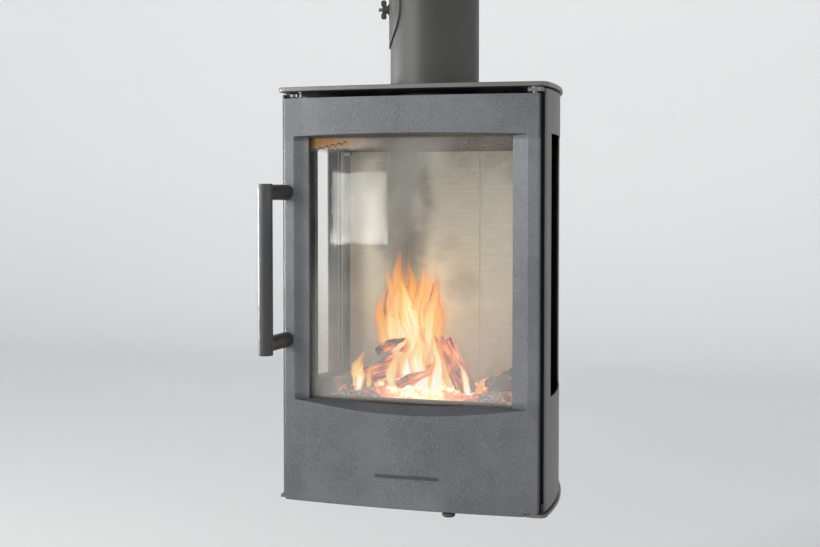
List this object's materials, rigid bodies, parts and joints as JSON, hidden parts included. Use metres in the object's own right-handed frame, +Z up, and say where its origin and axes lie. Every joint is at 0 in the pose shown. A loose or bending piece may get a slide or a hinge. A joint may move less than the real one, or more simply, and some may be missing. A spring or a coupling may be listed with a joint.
{
  "type": "wall-hung wood burning stove",
  "caption": "Wall-hung wood burning stove with a bowed glazed door, upright bar handle, side windows, air lever and top flue pipe with a sweeping hatch.",
  "frame": {"origin": "centre of the four wall bolt holes, on the wall plane", "axes": "+Z up, +Y into the wall, so the door faces -Y and +X is the viewer's right"},
  "size_m": [0.4491, 0.431, 1.09],
  "materials": {
    "casing_paint": "fine textured grey stove paint",
    "door_paint": "fine textured grey stove paint",
    "frame_steel": "matt black heat resistant paint",
    "handle_paint": "fine textured dark grey stove paint",
    "pipe_paint": "matt grey stove paint",
    "insulating_board": "pressed vermiculite board, matt",
    "grate_iron": "raw sand-cast",
    "stove_glass": "clear ceramic glass",
    "rope_seal": "braided glass fibre",
    "bright_steel": "plain turned steel",
    "black_oxide": "black oxide steel"
  },
  "bodies": {
    "root": {"top_plate": "casing_paint", "base_plate": "casing_paint", "side_panel_right": "casing_paint", "side_panel_left": "casing_paint", "back_panel": "casing_paint", "corner_spacers": "casing_paint", "hinge_bracket": "casing_paint", "wall_bracket": "casing_paint", "hanger_rail": "casing_paint", "wall_spacers": "casing_paint", "front_frame": "frame_steel", "firebox_top": "frame_steel", "ash_chamber_floor": "frame_steel", "air_box": "frame_steel", "air_wash_channel": "frame_steel", "firebox_sides": "frame_steel", "firebox_back": "frame_steel", "firebox_floor": "frame_steel", "side_glass_frames": "frame_steel", "fresh_air_spigot": "frame_steel", "rear_heat_shield": "frame_steel", "smoke_plate": "frame_steel", "log_guard": "frame_steel", "ash_pan": "frame_steel", "flue_pipe": "pipe_paint", "flue_collar": "pipe_paint", "pipe_sleeve": "pipe_paint", "back_liners": "insulating_board", "floor_liner": "insulating_board", "baffle_board": "insulating_board", "grate": "grate_iron", "side_glasses": "stove_glass", "side_glass_seals": "rope_seal", "rear_screws": "bright_steel", "side_frame_screws": "bright_steel", "hinge_pins": "bright_steel", "catch_pins": "bright_steel", "baffle_pegs": "bright_steel", "hatch_clamp": "bright_steel"},
    "door": {"door_panel": "door_paint", "door_seal_frame": "frame_steel", "door_rope_seal": "rope_seal", "door_glass": "stove_glass", "glass_gasket": "rope_seal", "glass_clips": "bright_steel", "glass_clip_screws": "bright_steel", "door_back_shield": "frame_steel", "rod_bearings": "bright_steel"},
    "handle": {"locking_rod": "bright_steel", "latch_hooks": "bright_steel", "handle_arms": "handle_paint", "handle_tube": "handle_paint", "handle_end_caps": "handle_paint"},
    "air_control": {"air_lever": "black_oxide", "lever_grip": "black_oxide", "damper_shaft": "bright_steel", "damper_disc": "bright_steel"},
    "hatch": {"hatch_cover": "pipe_paint"},
    "hatch_nut": {"wing_nut": "black_oxide"}
  },
  "joints": [
    {"name": "door_swing", "type": "hinge", "parent": "root", "child": "door", "pos_m": [0.2, -0.342, -0.17], "axis": [0, 0, 1], "range_deg": [0, 105]},
    {"name": "handle_turn", "type": "hinge", "parent": "door", "child": "handle", "pos_m": [-0.2, -0.3255, -0.12], "axis": [0, 0, 1], "range_deg": [-18, 0]},
    {"name": "air_lever_swing", "type": "hinge", "parent": "root", "child": "air_control", "pos_m": [0, -0.21, -0.47], "axis": [0, 0, 1], "range_deg": [-48.8, 0]},
    {"name": "hatch_pull", "type": "slide", "parent": "root", "child": "hatch", "axis": [-0.9744, -0.225, 0], "range_m": [0, 0.04]},
    {"name": "hatch_nut_turn", "type": "hinge", "parent": "hatch", "child": "hatch_nut", "pos_m": [0, -0.183, 0.31], "axis": [-0.9744, -0.225, 0], "continuous": true}
  ]
}
